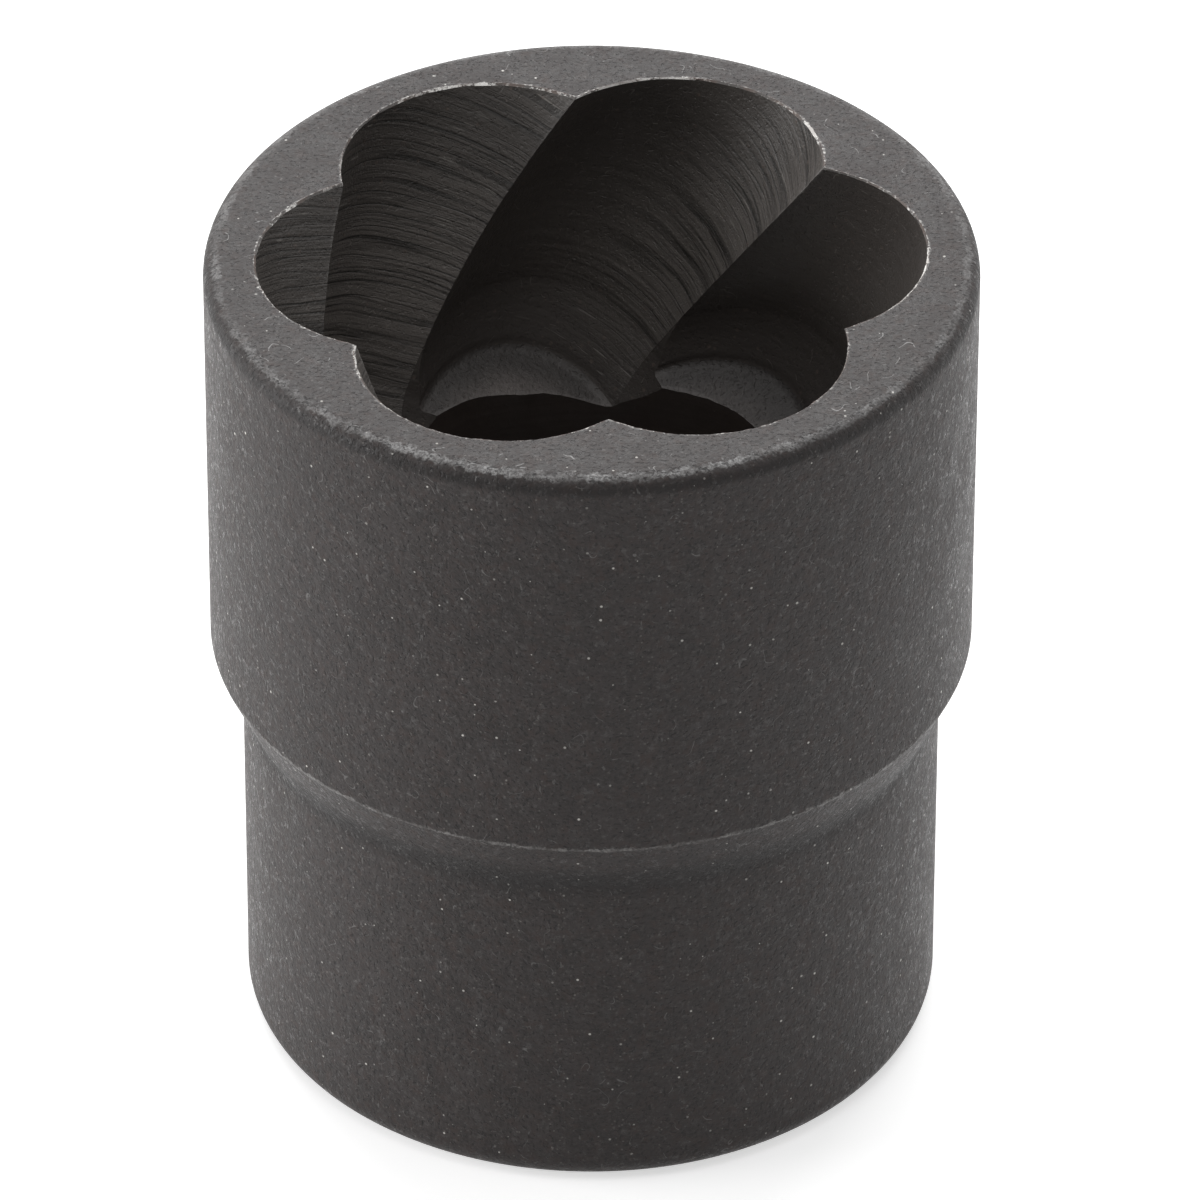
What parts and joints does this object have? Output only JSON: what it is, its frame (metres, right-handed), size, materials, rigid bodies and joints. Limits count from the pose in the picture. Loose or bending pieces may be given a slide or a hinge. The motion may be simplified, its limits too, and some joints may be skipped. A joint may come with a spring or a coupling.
{
  "type": "bolt extractor socket",
  "caption": "Short steel socket with a tapered, spirally fluted cavity that grips rounded bolt heads and nuts, turned by a square drive.",
  "frame": {"origin": "centre of the flat drive-end face that the socket stands on", "axes": "+Z along the socket's axis from the drive end to the mouth; +X and +Y are square to the flats of the drive hole"},
  "size_m": [0.0326, 0.0326, 0.038],
  "materials": {
    "black_steel": "black phosphate coating on forged and machined tool steel, satin to matt"
  },
  "bodies": {
    "root": {"extractor_socket": "black_steel"}
  },
  "joints": []
}
